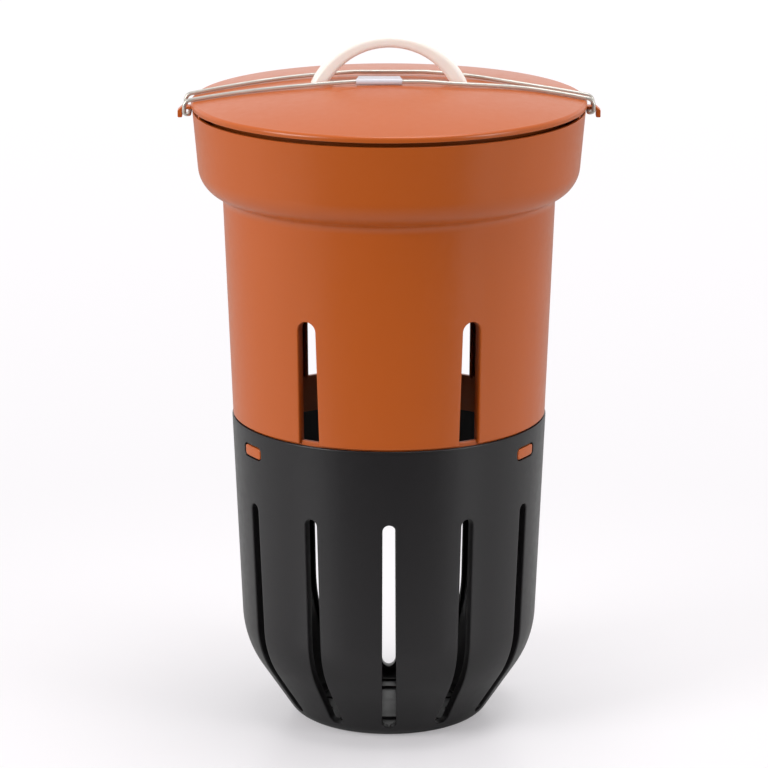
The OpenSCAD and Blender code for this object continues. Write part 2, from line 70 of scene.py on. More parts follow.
# %% Camera
MM = 0.001
CAMERA_DISTANCE = 3.129
CAMERA_TILT = math.radians(14.65)
CAMERA_TARGET = (-0.0037, 0.0, 0.2533)
LENS_MM = 196.9
SENSOR_MM = 36


def add_object(name, data):
    """A new object that holds the given data, placed in the scene."""
    made = bpy.data.objects.new(name, data)
    bpy.context.collection.objects.link(made)
    return made


def add_camera():
    """The camera stands back from its target along a line that rises at the tilt, and looks down it."""
    camera = add_object("camera", bpy.data.cameras.new("camera"))
    x, y, z = CAMERA_TARGET
    back, up = CAMERA_DISTANCE * math.cos(CAMERA_TILT), CAMERA_DISTANCE * math.sin(CAMERA_TILT)
    camera.location = (x, y - back, z + up)
    camera.rotation_euler = (math.pi / 2 - CAMERA_TILT, 0, 0)
    camera.data.sensor_width = SENSOR_MM
    camera.data.lens = LENS_MM
    camera.data.clip_start = 0.1
    camera.data.clip_end = 50
    return camera


scene = bpy.context.scene
scene.camera = add_camera()
scene.view_settings.view_transform = "Standard"
print("camera at", tuple(round(c, 3) for c in scene.camera.location))

# %% [markdown]
# A rounded corner is the most common shape on a moulded part. Each outline here is a short list of
# corners, and each corner becomes an arc that touches both of its sides. Writing the arc as a
# formula keeps the outline exact, where a hand-drawn curve would wobble in the reflections.

# %% Outline helpers


def unit(v):
    """The vector divided by its own length."""
    return v / np.linalg.norm(v)


def corner(a, p, b, radius, steps=12):
    """Arc that rounds the corner p between the points a and b. Its centre lies on the line that halves
    the corner's angle, at radius / sin(half the angle), and its spokes sweep 180 degrees less that angle."""
    a, p, b = (np.asarray(v, float) for v in (a, p, b))
    u, v = unit(a - p), unit(b - p)
    half = math.acos(float(np.clip(u @ v, -1, 1))) / 2
    centre = p + unit(u + v) * radius / math.sin(half)
    spoke = p + u * radius / math.tan(half) - centre
    way = 1 if u[0] * v[1] - u[1] * v[0] < 0 else -1
    turn = way * np.linspace(0, math.pi - 2 * half, steps + 1)
    cos, sin = np.cos(turn), np.sin(turn)
    return centre + np.stack([spoke[0] * cos - spoke[1] * sin, spoke[0] * sin + spoke[1] * cos], -1)


def rounded(points, radii, steps=6):
    """Outline through the points, with an arc of the given radius at each, and none where it is 0."""
    points = [np.asarray(p, float) for p in points]
    out = []
    for i, (p, radius) in enumerate(zip(points, radii)):
        if radius:
            out.extend(corner(points[i - 1], p, points[(i + 1) % len(points)], radius, steps))
        else:
            out.append(p)
    return np.array(out)


def spokes(start, stop, steps):
    """Unit vectors (cos, sin) at even angles. The first and last angle are given in quarter turns."""
    angle = np.linspace(start, stop, steps + 1) * math.pi / 2
    return np.stack([np.cos(angle), np.sin(angle)], -1)


print("a corner of radius 2 ends at", corner((0, 9), (0, 0), (9, 0), 2)[-1].round(6).tolist())

# %% [markdown]
# Surfaces are grids: rows run along an outline and columns run round the axis. A skin collects such
# grids and joins their touching edges, so a shell with many openings is still one closed mesh.

# %% Mesh helpers
SHARP_ANGLE = math.radians(35)


class Skin:
    """Collects grids of points, in millimetres, into one mesh."""

    def __init__(self):
        self.points = []
        self.faces = []
        self.count = 0

    def grid(self, points, keep=None, closed=False):
        """Adds a grid of points with shape (rows, columns, 3). keep is a mask of the faces that stay, and
        closed joins the last column to the first."""
        points = np.asarray(points, float)
        if closed:
            points = np.concatenate([points, points[:, :1]], 1)
        rows, columns = points.shape[:2]
        number = np.arange(rows * columns).reshape(rows, columns) + self.count
        faces = np.stack([number[:-1, :-1], number[:-1, 1:], number[1:, 1:], number[1:, :-1]], -1)
        faces = faces[keep] if keep is not None else faces.reshape(-1, 4)
        self.points.append(points.reshape(-1, 3))
        self.faces.extend(faces.tolist())
        self.count += rows * columns

    def polygon(self, points):
        """Adds one flat face with the given corners."""
        points = np.asarray(points, float)
        self.points.append(points)
        self.faces.append(list(range(self.count, self.count + len(points))))
        self.count += len(points)

    def solid(self, rings):
        """Adds closed rings of points, one beside the other, and a flat face over each end."""
        self.grid(rings, closed=True)
        self.polygon(rings[0][::-1])
        self.polygon(rings[-1])

    def build(self, name):
        """Joins points closer than 5 micrometres, drops faces that came to nothing, turns every face
        outwards and shades smoothly except across sharp edges."""
        mesh = bpy.data.meshes.new(name)
        mesh.from_pydata((np.concatenate(self.points) * MM).tolist(), [], self.faces)
        work = bmesh.new()
        work.from_mesh(mesh)
        bmesh.ops.remove_doubles(work, verts=work.verts, dist=5e-6)
        bmesh.ops.dissolve_degenerate(work, edges=work.edges, dist=2e-6)
        bmesh.ops.recalc_face_normals(work, faces=work.faces)
        open_edges = sum(1 for e in work.edges if not e.is_manifold)
        work.to_mesh(mesh)
        work.free()
        mesh.shade_smooth()
        mesh.set_sharp_from_angle(angle=SHARP_ANGLE)
        print(f"{name}: {len(mesh.polygons)} faces, {open_edges} open edges")
        return add_object(name, mesh)


def around(radius, height, turn):
    """Points at a radius, a height and a turn about the axis. Turn 0 faces the front, -Y, and the turn
    grows towards +X."""
    radius, height, turn = np.broadcast_arrays(radius, height, turn)
    return np.stack([radius * np.sin(turn), -radius * np.cos(turn), height], -1)


def lathe(skin, outline, columns=192, start=0.0, stop=2 * math.pi):
    """Turns an outline of (radius, height) pairs about the axis, all the way round or between two turns."""
    outline = np.asarray(outline, float)
    whole = stop - start > 2 * math.pi - 1e-9
    turns = np.linspace(start, stop, columns + 1)
    if whole:
        turns = turns[:-1]
    skin.grid(around(outline[:, :1], outline[:, 1:], turns[None]), closed=whole)


def add_ring(skin, inner_r, outer_r, low, top, columns, steps):
    """A ring about the axis. Its section is a rectangle with both upper corners rounded."""
    corners = [(inner_r, low), (outer_r, low), (outer_r, top), (inner_r, top)]
    section = rounded(corners, [0, 0, 0.5, 0.5], steps)
    lathe(skin, np.concatenate([section, section[:1]]), columns)


print("a quarter turn from the front lies at", around(1.0, 0.0, math.pi / 2).round(6).tolist())

# %% [markdown]
# ## Basket
# The basket is one moulding: a flat foot, a cone, and a drafted wall, pierced by twelve tall slots
# with inward lips and by three openings for the buttons. Cutting slots with a Boolean would leave
# hard, broken edges. Instead the grid is woven round each slot: its first column lies on the slot's
# edge, its last column on the line midway to the next slot, and the edge itself is a rolled strip.

# %% Basket sizes in millimetres
SEAM_Z = 234.0
BASKET_TOP_Z = 232.9
BASKET_R = 116.8
BASKET_DRAFT = math.radians(2.5)
FOOT_R = 60.0
FOOT_ROUND = 18.0
CONE_ANGLE = math.radians(33.7)
SHOULDER_ROUND = 75.0
WALL = 3.0
SLOT_COUNT = 12
SLOT_TOP = (177.0, 9.5)
SLOT_LOW = (9.5, 10.5)
LIP_DEPTH = 3.5
LIP_W = 1.8
LIP_ROUND = 0.5
DRAIN_RINGS = (30.0, 48.0)
DRAIN_SIZE = (8.0, 4.0)
RIDGE_W = 1.6
RIDGE_GAP = 1.0
RIDGE_Z = (2.5, 4.5)
BUTTON_Z = 217.0
BUTTON_SIZE = (21.8, 8.0)
BUTTON_GAP = 1.1
BUTTON_CORNER = 2.4
BUTTON_SECTORS = (2, 6, 10)


def basket_outline(t):
    """Outline of the basket's outer face moved inwards by t: a flat floor, a round, a cone, a wide round
    and the drafted wall up to the seam."""
    top_r = BASKET_R - t / math.cos(BASKET_DRAFT)
    foot_corner = FOOT_R + FOOT_ROUND / math.tan((math.pi / 2 + CONE_ANGLE) / 2)
    cone_r = foot_corner - t / math.cos(CONE_ANGLE)
    slope = math.tan(CONE_ANGLE) - math.tan(BASKET_DRAFT)
    bend_z = (top_r - SEAM_Z * math.tan(BASKET_DRAFT) - cone_r) / slope
    bend = (top_r - (SEAM_Z - bend_z) * math.tan(BASKET_DRAFT), bend_z)
    foot = (cone_r + t * math.tan(CONE_ANGLE), t)
    top = (top_r, SEAM_Z)
    low_round = corner((0, t), foot, bend, FOOT_ROUND - t, 24)
    high_round = corner(foot, bend, top, SHOULDER_ROUND - t, 24)
    return np.concatenate([[[0.0, t]], low_round, high_round, [top]])


def radius_on(outline, z):
    """Radius of an outline at a height. The axis point, which only closes a floor, is left out."""
    rising = outline[outline[:, 0] > 0]
    return np.interp(z, rising[:, 1], rising[:, 0])


print("basket radius at the foot and seam:", FOOT_R, round(float(basket_outline(0)[-1, 0]), 2))

# %% [markdown]
# An opening's edge is a half outline seen from the front: points from its lowest to its highest, and
# the outward direction at each. Growing it along those directions gives the strips that roll over the
# edge and run down its sides.

# %% Edges of the openings


def slot_edge(top, low, end_steps=8, side_steps=46):
    """Right half of a tall slot: a quarter circle at its lower end, a straight side and a quarter circle
    at its upper end. Returns the points (x, z) and the outward directions there."""
    top_r, low_r = top[1] / 2, low[1] / 2
    top_z, low_z = top[0] - top_r, low[0] + low_r
    down, up = spokes(-1, 0, end_steps), spokes(0, 1, end_steps)
    share = np.linspace(0, 1, side_steps + 1)[1:-1, None]
    side = (1 - share) * np.array([low_r, low_z]) + share * np.array([top_r, top_z])
    points = np.concatenate([down * low_r + (0, low_z), side, up * top_r + (0, top_z)])
    ways = np.concatenate([down, np.tile([1.0, 0.0], (len(side), 1)), up])
    return points, ways


def pad_edge(width, height, radius, centre_z, flat_steps=5, round_steps=5):
    """Right half of a rectangle with round corners, from the middle of its lower side to the middle of its
    upper one."""
    half_w, half_h = width / 2, height / 2
    down, up = spokes(-1, 0, round_steps), spokes(0, 1, round_steps)
    across = np.linspace(0, half_w - radius, flat_steps + 1)[:-1]
    low = np.stack([across, np.full_like(across, -half_h)], -1)
    low_round = down * radius + (half_w - radius, radius - half_h)
    high_round = up * radius + (half_w - radius, half_h - radius)
    points = np.concatenate([low, low_round, high_round, low[::-1] * (1, -1)]) + (0, centre_z)
    flat = np.tile([0.0, 1.0], (len(across), 1))
    ways = np.concatenate([-flat, down, up, flat])
    return points, ways


def rolled_edge(fillet, depth, lip=0.0, back=0.0, steps=4):
    """Pairs of (growth, depth) that roll over an edge of radius fillet, run straight in, and, where there
    is a lip, turn round its inner end and come back along its outside to the depth back."""
    turn = 1 - spokes(0, 1, steps)
    parts = [fillet * turn[:, ::-1]]
    if lip:
        parts += [(0, depth) + LIP_ROUND * turn[::2] * (1, -1), (lip, depth) - LIP_ROUND * turn[::2, ::-1]]
    return np.concatenate([*parts, [(lip, back if lip else depth)]])


SLOT_EDGE = slot_edge(SLOT_TOP, SLOT_LOW)
PAD_OPENING = (BUTTON_SIZE[0] + 2 * BUTTON_GAP, BUTTON_SIZE[1] + 2 * BUTTON_GAP)
PAD_EDGE = pad_edge(*PAD_OPENING, BUTTON_CORNER + BUTTON_GAP, BUTTON_Z)
print("points on half an edge: slot", len(SLOT_EDGE[0]), "and button", len(PAD_EDGE[0]))

# %% [markdown]
# Between the openings the wall is a woven grid. Every row has a height at the opening's edge and one at
# the sector's border, so rows can curl round the end of a slot and still meet the next sector's rows.

# %% Weave a sector round its openings
RIM_FILLET = 0.8


def column_shares(columns):
    """Shares of a sector's width at which its columns stand, closer together near the opening."""
    return np.linspace(0, 1, columns + 1)[None] ** 1.25


def weave(outline, edge_x, edge_z, far_z, half_turn, columns):
    """Radius, height and turn of half a sector's grid. Heights go from the opening's edge to the far
    column, and a point's turn at the edge is the angle whose sine is its x over the radius."""
    share = column_shares(columns)
    edge_x = np.where(np.abs(edge_x) < 1e-9, 0, edge_x)
    z = edge_z[:, None] * (1 - share) + far_z[:, None] * share
    edge_turn = np.arcsin(edge_x / radius_on(outline, edge_z))[:, None]
    return radius_on(outline, z), z, edge_turn * (1 - share) + half_turn * share


def both_sides(skin, radius, z, turn, centre, keep=None):
    """Adds half a sector and its mirror image, turned to the sector's centre."""
    skin.grid(around(radius, z, centre + turn), keep)
    skin.grid(around(radius, z, centre - turn), keep)


def roll_edges(skin, edge, ways, pairs, outline_at, centre, open_end=False):
    """Adds the strips of a rolled edge on both sides of an opening. Each loop is the edge grown by the
    first number of its pair and laid on the outline at the depth of the second. An open end is closed
    where the opening runs out of the wall's lower edge."""
    for way in (1, -1):
        loops = []
        for growth, depth in pairs:
            grown = edge + growth * ways
            radius = radius_on(outline_at(depth), grown[:, 1])
            loops.append(around(radius, grown[:, 1], centre + way * np.arcsin(grown[:, 0] / radius)))
        loops = np.array(loops)
        skin.grid(loops)
        if open_end:
            skin.polygon(loops[:, 0])


def add_rim(skin, outline_at, top_z, sectors, columns, offset=0.0):
    """Rows over the wall's top edge, with a round on each side and columns that match the walls'."""
    radii = [[float(radius_on(outline_at(t), z)) for t in (0.0, WALL)] for z in (top_z, top_z - RIM_FILLET)]
    (outer_r, inner_r), low = radii[0], top_z - RIM_FILLET
    ways = spokes(0, 1, 4) * RIM_FILLET
    rows = [(radii[1][0], low)]
    rows += [(outer_r - RIM_FILLET + x, low + z) for x, z in ways[1:]]
    rows += [(inner_r + RIM_FILLET - x, low + z) for x, z in ways[:0:-1]]
    rows = np.array(rows + [(radii[1][1], low)])
    half_turn = math.pi / sectors
    for number in range(sectors):
        centre = offset + 2 * half_turn * number
        both_sides(skin, rows[:, :1], rows[:, 1:], column_shares(columns) * half_turn, centre)


print("columns stand at", column_shares(4)[0].round(3).tolist())

# %% [markdown]
# Now the basket itself. Its floor continues the sectors to the axis. The drains are single cells left
# out of that grid, which keeps the flat foot simple, and four short walls close each of them.

# %% Basket
EDGE_FILLET = 0.9
BASKET_COLUMNS = 8
PAD_FILLET = 0.5


def basket_rows(t, has_button):
    """Edge x, edge height and far height of every row above the floor, at wall depth t. The slot and the
    button opening give their own rows, and plain rows fill the stretches between them."""
    slot = SLOT_EDGE[0] + (LIP_W if t else EDGE_FILLET) * SLOT_EDGE[1]
    pad = PAD_EDGE[0] + (0.0 if t else PAD_FILLET) * PAD_EDGE[1]
    rising = basket_outline(t)[1:, 1]
    arc = rising[rising < slot[0, 1] - 0.3]
    between = np.linspace(slot[-1, 1], pad[0, 1], 8)[1:-1]
    above = np.linspace(pad[-1, 1], BASKET_TOP_Z - RIM_FILLET, 5)[1:]
    far_pad = np.linspace(pad[0, 1], pad[-1, 1], len(pad))
    pad_x, pad_z = (pad[:, 0], pad[:, 1]) if has_button else (0 * far_pad, far_pad)
    edge_x = np.concatenate([0 * arc, slot[:, 0], 0 * between, pad_x, 0 * above])
    edge_z = np.concatenate([arc, slot[:, 1], between, pad_z, above])
    far_z = np.concatenate([arc, slot[:, 1], between, far_pad, above])
    return edge_x, edge_z, far_z


def floor_grid(half_turn):
    """Radii and turns of half a sector of the floor, and the mask that leaves the drains out. The last
    column is half a drain wide, except at the outer edge, where the turns are the wall's."""
    ends = [r + side * DRAIN_SIZE[0] / 2 for r in DRAIN_RINGS for side in (-1, 1)]
    radius = np.array(sorted([0.0, 10.0, 18.0, 39.0, FOOT_R, *ends]))[:, None]
    drain_turn = np.arcsin(DRAIN_SIZE[1] / 2 / np.maximum(radius, 10))
    turn = np.linspace(0, 1, BASKET_COLUMNS)[None] * (half_turn - drain_turn)
    turn = np.concatenate([turn, np.full_like(radius, half_turn)], 1)
    turn[-1] = column_shares(BASKET_COLUMNS)[0] * half_turn
    keep = np.ones((len(radius) - 1, BASKET_COLUMNS), bool)
    keep[np.isin(radius[:-1, 0], ends[::2]), -1] = False
    return radius, turn, keep


def drain_walls(skin, border):
    """The sides of the drains at one sector border, between the floor's two faces."""
    for ring in DRAIN_RINGS:
        near, far = ring - DRAIN_SIZE[0] / 2, ring + DRAIN_SIZE[0] / 2
        a, b = (math.asin(DRAIN_SIZE[1] / 2 / r) for r in (near, far))
        radius = np.array([near, near, near, far, far, far, near])
        turn = border + np.array([-a, 0, a, b, 0, -b, -a])
        skin.grid(np.stack([around(radius, 0.0, turn), around(radius, WALL, turn)]))


def basket_skin():
    """Outer and inner faces of the twelve sectors, their rolled edges, the floor and the rim."""
    skin = Skin()
    half_turn = math.pi / SLOT_COUNT
    slot_roll = rolled_edge(EDGE_FILLET, WALL + LIP_DEPTH, LIP_W, WALL)
    pad_roll = rolled_edge(PAD_FILLET, WALL, steps=3)
    for sector in range(SLOT_COUNT):
        centre = 2 * half_turn * sector
        has_button = sector in BUTTON_SECTORS
        for t in (0.0, WALL):
            grid = weave(basket_outline(t), *basket_rows(t, has_button), half_turn, BASKET_COLUMNS)
            both_sides(skin, *grid, centre)
            radius, turn, keep = floor_grid(half_turn)
            both_sides(skin, radius, t, turn, centre, keep)
        drain_walls(skin, centre + half_turn)
        roll_edges(skin, *SLOT_EDGE, slot_roll, basket_outline, centre)
        if has_button:
            roll_edges(skin, *PAD_EDGE, pad_roll, basket_outline, centre)
    add_rim(skin, basket_outline, BASKET_TOP_Z, SLOT_COUNT, BASKET_COLUMNS)
    for ring in DRAIN_RINGS:
        inner_r = ring + DRAIN_SIZE[0] / 2 + RIDGE_GAP
        add_ring(skin, inner_r, inner_r + RIDGE_W, *RIDGE_Z, 144, 3)
    return skin


basket = basket_skin().build("basket_shell")

# %% [markdown]
# ## Pot
# The pot is woven the same way, in six sectors. Its windows run down to the seam, where a ledge
# behind them shows as a strip. The neck and the collar are two arcs, because a moulded flare has no
# corners.

# %% Pot sizes in millimetres
POT_R = 116.1
POT_DRAFT = math.radians(2.2)
NECK_Z = 399.1
NECK_ROUND = 9.2
FLARE_ANGLE = math.radians(65)
COLLAR_ROUND = 22.0
COLLAR_DRAFT = math.radians(5)
RIM_R = 144.0
RIM_Z = 461.5
SPIGOT_R = 112.5
SPIGOT_WALL = 2.5
SPIGOT_LOW_Z = 208.0
SPIGOT_TOP_Z = 232.8
LEDGE_R = 113.3
LEDGE_Z = 232.0
LOW_FILLET = 0.6
WINDOW_COUNT = 6
WINDOW_TOP = (326.0, 14.5)
SILL = (236.0, 16.5)
WINDOW_LIP = 4.2
POT_COLUMNS = 16
FINGER_W = 23.0
FINGER_T = 2.5
FINGER_GAP = 0.8
BUTTON_TURNS = (math.radians(-60), math.radians(60), math.radians(180))


def pot_outline(t):
    """Outline of the pot's outer face moved inwards by t, from the seam to the rim: a small round, a
    drafted wall, a hollow round at the neck, a flare, a full round and a drafted collar."""
    neck_r = POT_R + (NECK_Z - SEAM_Z) * math.tan(POT_DRAFT)
    top_r = RIM_R - t / math.cos(COLLAR_DRAFT)
    flare_r = neck_r - t / math.cos(FLARE_ANGLE)
    wall_r = neck_r - t / math.cos(POT_DRAFT)
    low_z = NECK_Z + (flare_r - wall_r) / (math.tan(POT_DRAFT) - math.tan(FLARE_ANGLE))
    low_bend = (wall_r + (low_z - NECK_Z) * math.tan(POT_DRAFT), low_z)
    rise = top_r - RIM_Z * math.tan(COLLAR_DRAFT) - flare_r + NECK_Z * math.tan(FLARE_ANGLE)
    high_z = rise / (math.tan(FLARE_ANGLE) - math.tan(COLLAR_DRAFT))
    high_bend = (top_r - (RIM_Z - high_z) * math.tan(COLLAR_DRAFT), high_z)
    low = (wall_r - (NECK_Z - SEAM_Z) * math.tan(POT_DRAFT), SEAM_Z)
    top = (top_r, RIM_Z)
    foot = (low[0] - LOW_FILLET, low[1] + LOW_FILLET) + LOW_FILLET * spokes(-1, 0, 5)
    neck = corner(low, low_bend, high_bend, NECK_ROUND + t, 24)
    collar = corner(low_bend, high_bend, top, COLLAR_ROUND - t, 24)
    return np.concatenate([foot, neck, collar, [top]])


def window_edge(side_steps=30, end_steps=8):
    """Right half of a window that is open at the seam: an upright stretch up to the sill, a leaning side
    and a quarter circle. Returns the points (x, z) and the outward directions there."""
    top_r = WINDOW_TOP[1] / 2
    spring = np.array([top_r, WINDOW_TOP[0] - top_r])
    sill = np.array([SILL[1] / 2, SILL[0]])
    up = spokes(0, 1, end_steps)
    share = np.linspace(0, 1, side_steps + 1)[:-1, None]
    side = (1 - share) * sill + share * spring
    foot = [(SILL[1] / 2, z) for z in SEAM_Z + LOW_FILLET * (1 - spokes(0, 1, 5)[:, 0])]
    points = np.concatenate([foot, side, up * top_r + (0, spring[1])])
    ways = np.concatenate([np.tile([1.0, 0.0], (len(foot) + len(side), 1)), up])
    return points, ways


WINDOW_EDGE = window_edge()
print("points on half a window's edge:", len(WINDOW_EDGE[0]))

# %% [markdown]
# The windows stand in the middle of the pot's six sectors. Below the seam a ledge closes the foot of each
# window, and the spigot hangs from it with three gaps, in which the fingers of the buttons can bend.

# %% Pot wall and spigot


def pot_rows(t):
    """Edge x, edge height and far height of the pot's rows at wall depth t."""
    edge = WINDOW_EDGE[0] + (LIP_W if t else EDGE_FILLET) * WINDOW_EDGE[1]
    bends = pot_outline(t)[6:-1, 1]
    wall = np.linspace(edge[-1, 1], bends[0], 14)[1:-1]
    above = np.concatenate([wall, bends, np.linspace(bends[-1], RIM_Z - RIM_FILLET, 6)[1:]])
    edge_x = np.concatenate([edge[:, 0], 0 * above])
    edge_z = np.concatenate([edge[:, 1], above])
    return edge_x, edge_z, edge_z


def pot_skin():
    """The pot's wall with its windows, its rim, and the spigot with a gap for each release finger."""
    skin = Skin()
    half_turn = math.pi / WINDOW_COUNT
    pairs = rolled_edge(EDGE_FILLET, WALL + WINDOW_LIP, LIP_W, WALL)
    for window in range(WINDOW_COUNT):
        centre = (2 * window + 1) * half_turn
        grids = [weave(pot_outline(t), *pot_rows(t), half_turn, POT_COLUMNS) for t in (0.0, WALL)]
        for grid in grids:
            both_sides(skin, *grid, centre)
        underside = [np.stack([outer[0], inner[0]]) for outer, inner in zip(*grids)]
        both_sides(skin, *underside, centre)
        roll_edges(skin, *WINDOW_EDGE, pairs, pot_outline, centre, open_end=True)
    add_rim(skin, pot_outline, RIM_Z, WINDOW_COUNT, POT_COLUMNS, half_turn)
    inner_r, low, top = SPIGOT_R - SPIGOT_WALL, SPIGOT_LOW_Z, SPIGOT_TOP_Z
    add_ring(skin, inner_r, LEDGE_R, LEDGE_Z, SILL[0], 192, 6)
    wall = np.array([(inner_r, low), (SPIGOT_R, low), (SPIGOT_R, top), (inner_r, top), (inner_r, low)])
    gap = math.asin((FINGER_W / 2 + FINGER_GAP) / SPIGOT_R)
    for turn in BUTTON_TURNS:
        start, stop = turn + gap, turn + 2 * math.pi / 3 - gap
        lathe(skin, wall, 64, start, stop)
        for end in (start, stop):
            skin.polygon(around(wall[:-1, 0], wall[:-1, 1], end))
    return skin


# %% [markdown]
# Buttons, lugs and the tab are short extrusions. A real moulding has no knife edges, so the extrusion's
# outline shrinks a little near its two ends, along a quarter circle, before the flat ends close it.

# %% Extrusion helpers


def inset(outline, distance):
    """A closed outline moved inwards along its corners' bisectors, by distance / cos(half the corner's
    turn)."""
    ahead = np.roll(outline, -1, 0) - outline
    ahead /= np.linalg.norm(ahead, axis=1, keepdims=True)
    back = np.roll(ahead, 1, 0)
    normal = np.stack([-ahead[:, 1] - back[:, 1], ahead[:, 0] + back[:, 0]], -1)
    length = np.linalg.norm(normal, axis=1, keepdims=True)
    return outline + normal / length * distance / (length / 2)


def extrude(skin, outline, half_width, round_r, place, steps=4):
    """Extrudes a closed, anticlockwise outline to both sides of its plane, with rounded ends. place turns
    the arrays (first, second, sideways) into points."""
    end = (0, half_width) + round_r * (1 - spokes(1, 0, steps)) * (1, -1)
    points = []
    for shrink, side in np.concatenate([end * (1, -1), end[::-1]]):
        line = inset(outline, shrink) if shrink > 1e-9 else outline
        points.append(place(line[:, 0], line[:, 1], np.full(len(line), side)))
    skin.solid(np.array(points))


square = np.array([(0.0, 0.0), (9.0, 0.0), (9.0, 9.0), (0.0, 9.0)])
print("a square set in by 1:", inset(square, 1).round(6).tolist())

# %% [markdown]
# The bail hooks under a lug on each side of the rim. A lug is moulded in one with the pot, so both lugs
# join the pot's skin, with an arm that reaches over the wire and a lip that stands outside it.

# %% Pot with its lugs
LUG_ROOT_R = RIM_R - 2.2
LUG_ROOT_Z = RIM_Z - 0.5
LUG_W = 9.0
LUG_X = 154.8
LUG_LIP_T = 3.4
LUG_ARM = (462.0, 464.2)
LUG_LOW_Z = 456.0


def add_lug(skin, side):
    """One hooked lug, extruded from front to back: an arm from the rim over the wire, and a lip with a
    sloping top."""
    rim_r, lip_x = RIM_R - 0.3, LUG_X - LUG_LIP_T
    low, top = LUG_ARM
    under = [(LUG_ROOT_R, LUG_ROOT_Z), (rim_r, LUG_ROOT_Z), (rim_r, low), (lip_x, low), (lip_x, LUG_LOW_Z)]
    outside = [(LUG_X, LUG_LOW_Z), (LUG_X, top - 3), (lip_x, top), (LUG_ROOT_R, top)]
    outline = rounded(under + outside, [0, 0, 0, 0.8, 0.8, 0.8, 1.2, 1.2, 0.5], 4)
    extrude(skin, outline, LUG_W / 2, 0.6, lambda x, z, y: np.stack([side * x, -side * y, z], -1))


skin = pot_skin()
for side in (-1, 1):
    add_lug(skin, side)
pot = skin.build("pot_shell")

# %% [markdown]
# ## Release buttons
# A button is a pad on a springy finger. The pad's face follows the basket's wall, and its edge is
# rolled, which is what catches the light in the photograph. The face is filled with rings that shrink
# to its centre, because rows would pinch at the rounded corners.

# %% Release buttons
PAD_SOFT = 0.9
PAD_CROWN = 0.05
PAD_DEPTH = 4.5
FINGER_R = SPIGOT_R - 0.5
FINGER_TOP_Z = LEDGE_Z - 0.05


def facing(turn):
    """A rule that places (distance from the axis, height, sideways) in the direction of a turn."""

    def place(radial, z, across):
        """The points, with the distance from the axis along the turn and sideways square to it."""
        x = radial * math.sin(turn) + across * math.cos(turn)
        y = -radial * math.cos(turn) + across * math.sin(turn)
        return np.stack([x, y, z], -1)

    return place


def button_skin(turn):
    """A pad with a rolled edge on the basket's outline, and the finger behind it with its rounded root."""
    skin = Skin()
    halves = pad_edge(*BUTTON_SIZE, BUTTON_CORNER, BUTTON_Z)
    whole, out = (np.concatenate([half, (half * (-1, 1))[-2:0:-1]]) for half in halves)
    middle = np.array([0, BUTTON_Z])
    flat = whole - PAD_SOFT * out - middle
    roll = PAD_SOFT * (1 - spokes(0, 1, 5)[1:])
    loops = [(middle + flat * s, PAD_CROWN * s * s) for s in (0.02, 0.25, 0.5, 0.75, 1)]
    loops += [(whole - inwards * out, PAD_CROWN + down) for down, inwards in roll]
    loops += [(whole, PAD_DEPTH)]
    points = []
    for line, depth in loops:
        radius = radius_on(basket_outline(0.0), line[:, 1]) - depth
        points.append(around(radius, line[:, 1], turn + np.arcsin(line[:, 0] / radius)))
    skin.solid(np.array(points))
    inside, low, root = FINGER_R - FINGER_T, SPIGOT_LOW_Z + 1, FINGER_T / 2 - 0.01
    finger = [(inside, low), (FINGER_R, low), (FINGER_R, FINGER_TOP_Z), (inside, FINGER_TOP_Z)]
    extrude(skin, rounded(finger, [0.4, 0.4, root, root]), FINGER_W / 2, 0.35, facing(turn))
    return skin


buttons = {
    name: button_skin(turn).build(f"button_{name}")
    for name, turn in zip(("left", "right", "rear"), BUTTON_TURNS)
}

# %% [markdown]
# ## Lid
# The lid is a shallow dome: its height falls with the square of the distance, as a shallow part of a
# ball does. Its edge is turned down and well rounded. Four ribs under it stand on the rim, so a dark
# gap stays open between the rim and the edge. A skirt hangs inside, and two bosses take the screws of
# the handle. All but the ribs and the bosses is one outline turned about the axis.

# %% Lid
LID_R = 145.0
LID_LOW_Z = RIM_Z + 3.2
CREASE_Z = LID_LOW_Z + 2.2
EDGE_ROUND = 2.6
SHOULDER_R = LID_R - EDGE_ROUND
SHOULDER_Z = CREASE_Z + EDGE_ROUND
DOME_RISE = 13.9
DOME_T = 2.6
SKIRT_R = 133.5
SKIRT_T = 2.4
SKIRT_DEPTH = 9.5
RIB_T = 3.0
RIB_TURNS = [math.radians(a) for a in (-105, -75, 75, 105)]
HANDLE_TURN = math.radians(1.5)
BOSS_X = 49.8
BOSS_LEAN = math.radians(28)
BOSS_SECTION = ((2.3, 1.0), (2.3, -4.6), (2.6, -5.0), (6.0, -5.0), (6.5, -4.5), (6.5, -0.5), (2.3, 1.0))


def dome_z(distance, t=0.0):
    """Height of the dome at a distance from the axis: the shoulder, plus the rise times 1 less the square
    of the distance's share of the shoulder's radius. t moves it down."""
    return SHOULDER_Z + DOME_RISE * (1 - (distance / SHOULDER_R) ** 2) - t


